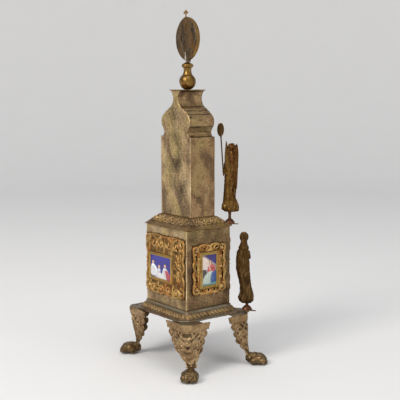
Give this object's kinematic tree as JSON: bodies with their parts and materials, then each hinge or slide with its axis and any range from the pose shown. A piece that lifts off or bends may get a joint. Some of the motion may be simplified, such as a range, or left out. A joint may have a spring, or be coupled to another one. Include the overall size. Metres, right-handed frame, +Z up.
{
  "type": "monstrance",
  "caption": "Table monstrance of sheet brass: embossed legs on cast paws, boxed base with enamel plaques, tall capped tower, turned knop and a glazed swivelling capsule with a cross.",
  "frame": {"origin": "on the ground, below the tower's axis, at the middle of the four paws", "axes": "+Z up along the tower; the front (the glazed side of the capsule) faces -Y; +X to the viewer's right from the front"},
  "size_m": [0.1958, 0.1494, 0.5005],
  "materials": {
    "leg_brass": "tarnished, embossed",
    "paw_bronze": "dark cast",
    "pale_brass_sheet": "worn, tarnished sheet",
    "dark_brass_sheet": "dark tarnished sheet",
    "gilt_frame": "worn gilding",
    "gilt_moulding": "worn gilding",
    "painted_enamel": "glossy painted enamel",
    "base_brass": "grey-green tarnish",
    "stamped_brass": "stamped, tarnished",
    "polished_brass": "turned, polished",
    "capsule_brass": "worn brass",
    "capsule_patina": "dark brown patina",
    "bare_strip": "pale scratched strip",
    "clear_glass": "clear",
    "angel_bronze": "copper-brown cast",
    "saint_bronze": "dark olive-brown cast",
    "stand_copper": "red-brown",
    "fastener_brass": "dull"
  },
  "bodies": {
    "body": {"base_plate": "base_brass", "base_border": "stamped_brass", "leg_back_right": "leg_brass", "leg_back_left": "leg_brass", "leg_front_left": "leg_brass", "leg_front_right": "leg_brass", "paw_back_right": "paw_bronze", "paw_back_left": "paw_bronze", "paw_front_left": "paw_bronze", "paw_front_right": "paw_bronze", "leg_plates": "fastener_brass", "leg_rivets": "fastener_brass", "panel_back": "pale_brass_sheet", "panel_front": "pale_brass_sheet", "panel_left": "dark_brass_sheet", "panel_right": "dark_brass_sheet", "frame_back": "gilt_frame", "frame_front": "gilt_frame", "frame_left": "gilt_frame", "frame_right": "gilt_frame", "moulding_back": "gilt_moulding", "moulding_front": "gilt_moulding", "moulding_left": "gilt_moulding", "moulding_right": "gilt_moulding", "plaque_back": "painted_enamel", "plaque_front": "painted_enamel", "plaque_left": "painted_enamel", "plaque_right": "painted_enamel", "frame_pins": "fastener_brass", "cornice_roof": "stamped_brass", "cornice_border": "stamped_brass", "tower_back": "pale_brass_sheet", "tower_front": "pale_brass_sheet", "tower_left": "dark_brass_sheet", "tower_right": "dark_brass_sheet", "tower_top": "dark_brass_sheet", "tie_rod": "fastener_brass", "tie_nut": "fastener_brass", "tie_washer": "fastener_brass", "vase_knop": "polished_brass", "angel_left": "angel_bronze", "angel_right": "angel_bronze", "angel_staffs": "saint_bronze", "saint_left": "saint_bronze", "saint_right": "saint_bronze", "angel_stands": "stand_copper", "saint_stands": "stand_copper", "upper_brackets": "base_brass", "lower_brackets": "base_brass", "bracket_nuts": "fastener_brass"},
    "capsule": {"capsule_stem": "capsule_patina", "capsule_back": "capsule_patina", "capsule_drum": "capsule_brass", "capsule_tongue": "bare_strip", "cross": "capsule_brass", "door_pin": "capsule_brass", "lunette": "capsule_brass"},
    "door": {"door_bezel": "capsule_brass", "door_glass": "clear_glass"},
    "latch": {"door_latch": "capsule_brass"}
  },
  "joints": [
    {"name": "capsule_swivel", "type": "hinge", "parent": "body", "child": "capsule", "pos_m": [0, 0, 0.422], "axis": [0, 0, 1], "continuous": true},
    {"name": "capsule_door", "type": "hinge", "parent": "capsule", "child": "door", "pos_m": [0.0246, -0.00225, 0.4609], "axis": [0, 0, 1], "range_deg": [0, 100]},
    {"name": "door_latch_turn", "type": "hinge", "parent": "capsule", "child": "latch", "pos_m": [0, -0.003, 0.4299], "axis": [0, 1, 0], "range_deg": [0, 90]}
  ]
}
